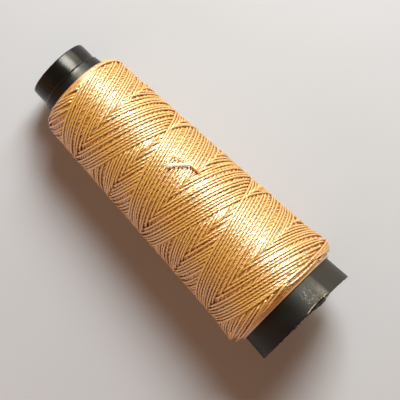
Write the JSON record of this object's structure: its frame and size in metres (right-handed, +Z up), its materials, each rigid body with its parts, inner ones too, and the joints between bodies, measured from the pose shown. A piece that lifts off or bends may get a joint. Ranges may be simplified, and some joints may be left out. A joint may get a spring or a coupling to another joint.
{
  "type": "spool of thread",
  "caption": "Cross-wound thread on a tapered hollow plastic tube, lying on its side, with a loose end; the tube slips over a peg.",
  "frame": {"origin": "bottom centre of the bounding box, on the surface that the spool lies on", "axes": "+Z up; +X along the spool towards its small end. The spool rests on its thread at both ends of the package, so its axis lies in the XZ plane and rises 4.0 degrees towards the large end, at -X"},
  "size_m": [0.1016, 0.038, 0.0377],
  "materials": {
    "tube_plastic": "moulded black plastic, satin with soft highlights, scuffed",
    "thread": "twisted golden thread with a silky sheen"
  },
  "bodies": {
    "root": {"cone_tube": "tube_plastic", "thread_inner_layers": "thread", "thread_outer_winding": "thread", "thread_tail": "thread"}
  },
  "joints": []
}
